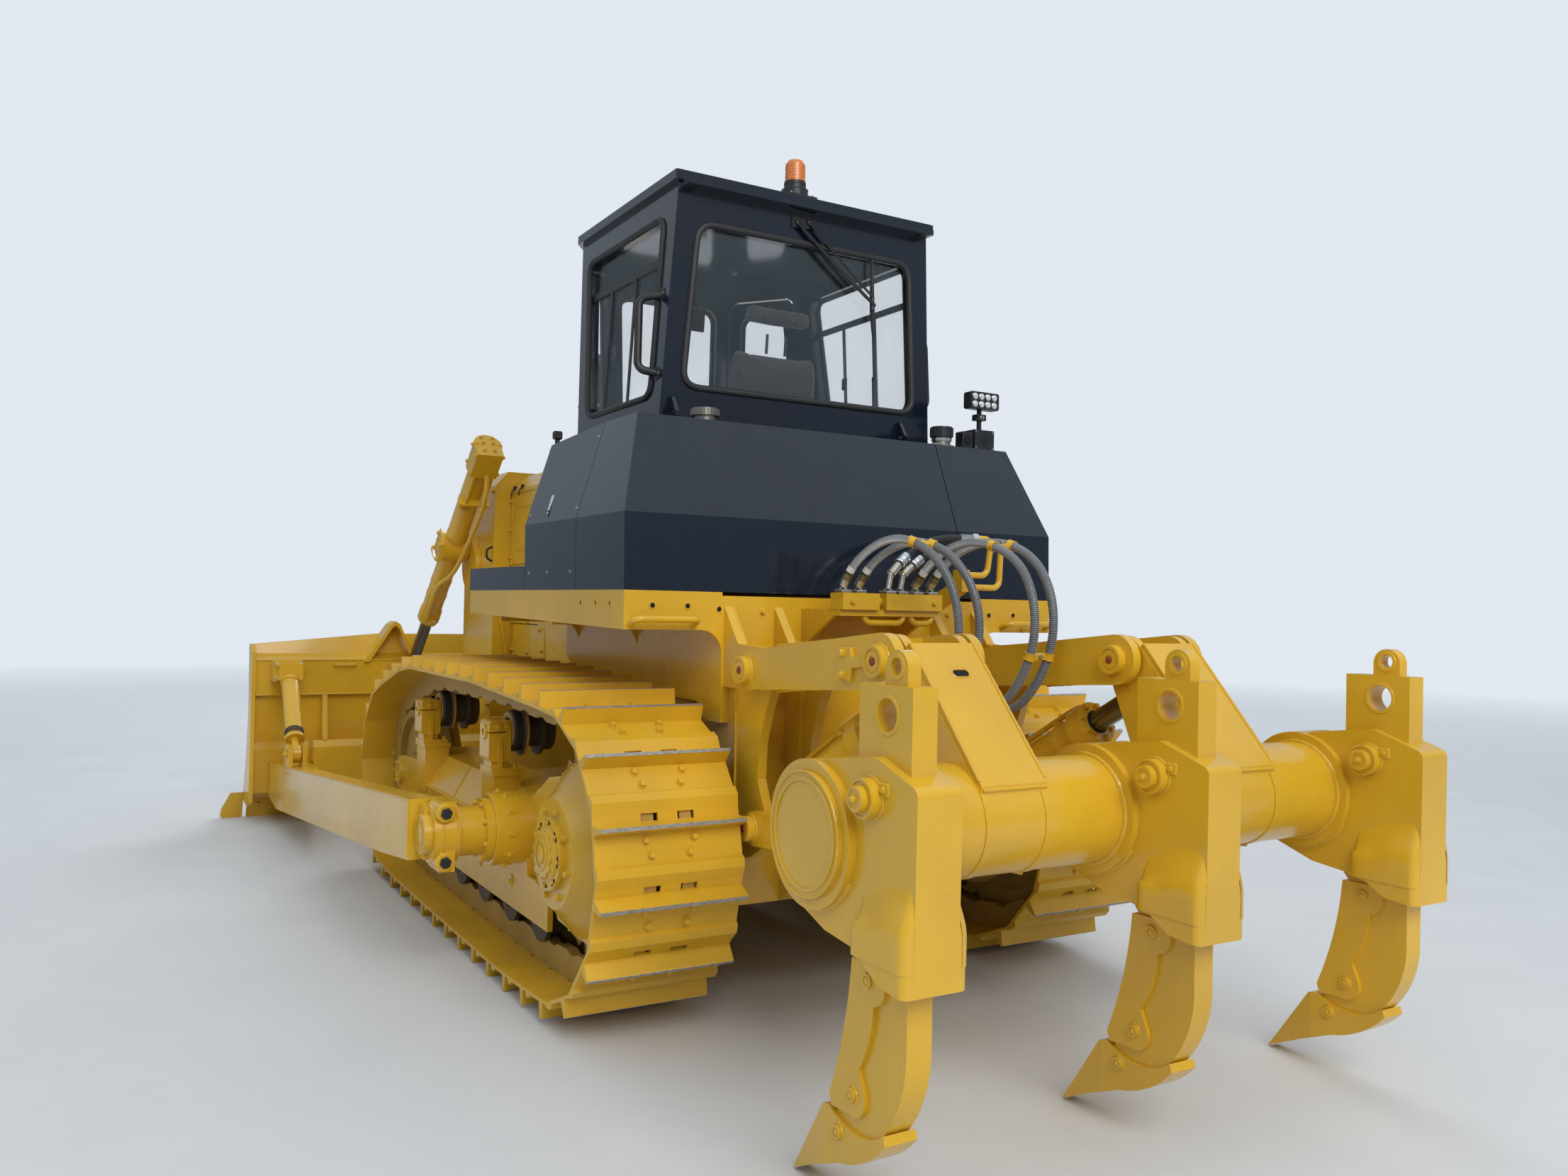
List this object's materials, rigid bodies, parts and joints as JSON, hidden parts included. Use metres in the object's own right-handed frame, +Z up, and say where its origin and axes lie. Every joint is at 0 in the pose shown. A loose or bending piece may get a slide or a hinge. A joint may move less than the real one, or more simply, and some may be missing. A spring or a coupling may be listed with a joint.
{
  "type": "crawler bulldozer",
  "caption": "Crawler bulldozer with a straight tilt blade, an enclosed cab with corner doors and a parallelogram multi-shank ripper; blade, ripper and doors move.",
  "frame": {"origin": "on the ground under the middle of the machine's overall box", "axes": "+X forwards to the blade, +Y to the machine's left, +Z up"},
  "size_m": [7.0278, 3.744, 3.572],
  "materials": {
    "yellow_paint": "semi-gloss",
    "frame_paint": "dusty",
    "track_paint": "dusty, worn bright on the grousers",
    "roller_paint": "dusty",
    "black_gloss": "glossy",
    "zinc_steel": "plated",
    "cap_steel": "satin",
    "chrome_rod": "polished",
    "black_paint": "satin",
    "black_plastic": "matte",
    "window_glass": "clear",
    "seat_fabric": "woven",
    "amber_lens": "clear amber",
    "hose_rubber": "matte"
  },
  "bodies": {
    "chassis": {"track_shoes_left": "track_paint", "track_shoes_right": "track_paint", "track_chains": "track_paint", "track_frame_left": "yellow_paint", "track_frame_right": "yellow_paint", "sprockets_idlers": "track_paint", "track_rollers": "roller_paint", "fenders": "yellow_paint", "side_boxes": "black_gloss", "main_frame": "frame_paint", "fuel_tank": "black_gloss", "hydraulic_tank": "black_gloss", "hood": "yellow_paint", "engine_block": "black_paint", "radiator_guard": "yellow_paint", "grille": "black_paint", "exhaust": "black_paint", "pre_cleaner": "black_paint", "cab_shell": "black_gloss", "cab_roof": "black_gloss", "cab_glass": "window_glass", "seat_frame": "black_plastic", "seat_cushions": "seat_fabric", "dash": "black_plastic", "grab_rails": "black_paint", "beacon_lens": "amber_lens", "beacon_base": "black_paint", "work_lamp": "black_plastic", "filler_caps": "cap_steel", "ripper_towers": "yellow_paint", "hose_manifold": "yellow_paint", "hose_fittings": "zinc_steel", "hose_left_outer": "hose_rubber", "hose_left_inner": "hose_rubber", "hose_right_inner": "hose_rubber", "hose_right_outer": "hose_rubber", "hose_top_left": "hose_rubber", "hose_top_right": "hose_rubber"},
    "blade": {"blade": "yellow_paint", "cutting_edge": "yellow_paint", "push_arms": "yellow_paint", "blade_braces": "yellow_paint"},
    "ripper_lower": {"ripper_lower_frame": "yellow_paint"},
    "ripper_beam": {"ripper_beam": "yellow_paint", "ripper_shanks": "yellow_paint", "ripper_points": "yellow_paint"},
    "lift_barrel_left": {"lift_barrel_left": "yellow_paint"},
    "lift_rod_left": {"lift_rod_left": "chrome_rod"},
    "ripper_link_left": {"ripper_link_left": "yellow_paint"},
    "ripper_barrel_left": {"ripper_barrel_left": "yellow_paint"},
    "ripper_rod_left": {"ripper_rod_left": "chrome_rod"},
    "door_left": {"cab_door_left": "black_gloss", "door_glass_left": "window_glass"},
    "lift_barrel_right": {"lift_barrel_right": "yellow_paint"},
    "lift_rod_right": {"lift_rod_right": "chrome_rod"},
    "ripper_link_right": {"ripper_link_right": "yellow_paint"},
    "ripper_barrel_right": {"ripper_barrel_right": "yellow_paint"},
    "ripper_rod_right": {"ripper_rod_right": "chrome_rod"},
    "door_right": {"cab_door_right": "black_gloss", "door_glass_right": "window_glass"}
  },
  "joints": [
    {"name": "blade_lift", "type": "hinge", "parent": "chassis", "child": "blade", "pos_m": [-0.87, 0, 0.62], "axis": [0, -1, 0], "range_deg": [0, 16]},
    {"name": "ripper_lift", "type": "hinge", "parent": "chassis", "child": "ripper_lower", "pos_m": [-1.97, 0, 0.76], "axis": [0, 1, 0], "range_deg": [0, 35]},
    {"name": "ripper_beam_turn", "type": "hinge", "parent": "ripper_lower", "child": "ripper_beam", "pos_m": [-2.818, 0, 0.834], "axis": [0, 1, 0], "range_deg": [-35, 0]},
    {"name": "lift_barrel_left_tilt", "type": "hinge", "parent": "chassis", "child": "lift_barrel_left", "pos_m": [1.9, 0.72, 1.905], "axis": [0, -1, 0], "range_deg": [0, 49.2]},
    {"name": "lift_rod_left_slide", "type": "slide", "parent": "lift_barrel_left", "child": "lift_rod_left", "axis": [0.775, 0, -0.6319], "range_m": [-0.5645, 0]},
    {"name": "ripper_link_left_turn", "type": "hinge", "parent": "chassis", "child": "ripper_link_left", "pos_m": [-1.908, 0.5, 1.328], "axis": [0, 1, 0], "range_deg": [0, 35]},
    {"name": "ripper_barrel_left_tilt", "type": "hinge", "parent": "chassis", "child": "ripper_barrel_left", "pos_m": [-1.86, 0.5, 0.79], "axis": [0, 1, 0], "range_deg": [0, 24.9]},
    {"name": "ripper_rod_left_slide", "type": "slide", "parent": "ripper_barrel_left", "child": "ripper_rod_left", "axis": [-0.8705, 0, 0.4922], "range_m": [0, 0.175]},
    {"name": "door_left_swing", "type": "hinge", "parent": "chassis", "child": "door_left", "pos_m": [0.28088, 0.33584, 1.97942], "axis": [-0.0247, -0.0215, -0.9995], "range_deg": [0, 80]},
    {"name": "lift_barrel_right_tilt", "type": "hinge", "parent": "chassis", "child": "lift_barrel_right", "pos_m": [1.9, -0.72, 1.905], "axis": [0, -1, 0], "range_deg": [0, 49.2]},
    {"name": "lift_rod_right_slide", "type": "slide", "parent": "lift_barrel_right", "child": "lift_rod_right", "axis": [0.775, 0, -0.6319], "range_m": [-0.5645, 0]},
    {"name": "ripper_link_right_turn", "type": "hinge", "parent": "chassis", "child": "ripper_link_right", "pos_m": [-1.908, -0.5, 1.328], "axis": [0, 1, 0], "range_deg": [0, 35]},
    {"name": "ripper_barrel_right_tilt", "type": "hinge", "parent": "chassis", "child": "ripper_barrel_right", "pos_m": [-1.86, -0.5, 0.79], "axis": [0, 1, 0], "range_deg": [0, 24.9]},
    {"name": "ripper_rod_right_slide", "type": "slide", "parent": "ripper_barrel_right", "child": "ripper_rod_right", "axis": [-0.8705, 0, 0.4922], "range_m": [0, 0.175]},
    {"name": "door_right_swing", "type": "hinge", "parent": "chassis", "child": "door_right", "pos_m": [0.28088, -0.33584, 1.97942], "axis": [0.0247, -0.0215, 0.9995], "range_deg": [0, 80]}
  ],
  "couplings": [
    {"joint": "ripper_beam_turn", "follows": "ripper_lift", "ratio": -1},
    {"joint": "lift_barrel_left_tilt", "follows": "blade_lift", "ratio": 3.0704},
    {"joint": "lift_rod_left_slide", "follows": "blade_lift", "m_per_rad": -2.0204},
    {"joint": "ripper_link_left_turn", "follows": "ripper_lift", "ratio": 1},
    {"joint": "ripper_barrel_left_tilt", "follows": "ripper_lift", "ratio": 0.70921},
    {"joint": "ripper_rod_left_slide", "follows": "ripper_lift", "m_per_rad": 0.28514},
    {"joint": "lift_barrel_right_tilt", "follows": "blade_lift", "ratio": 3.0704},
    {"joint": "lift_rod_right_slide", "follows": "blade_lift", "m_per_rad": -2.0204},
    {"joint": "ripper_link_right_turn", "follows": "ripper_lift", "ratio": 1},
    {"joint": "ripper_barrel_right_tilt", "follows": "ripper_lift", "ratio": 0.70921},
    {"joint": "ripper_rod_right_slide", "follows": "ripper_lift", "m_per_rad": 0.28514}
  ]
}
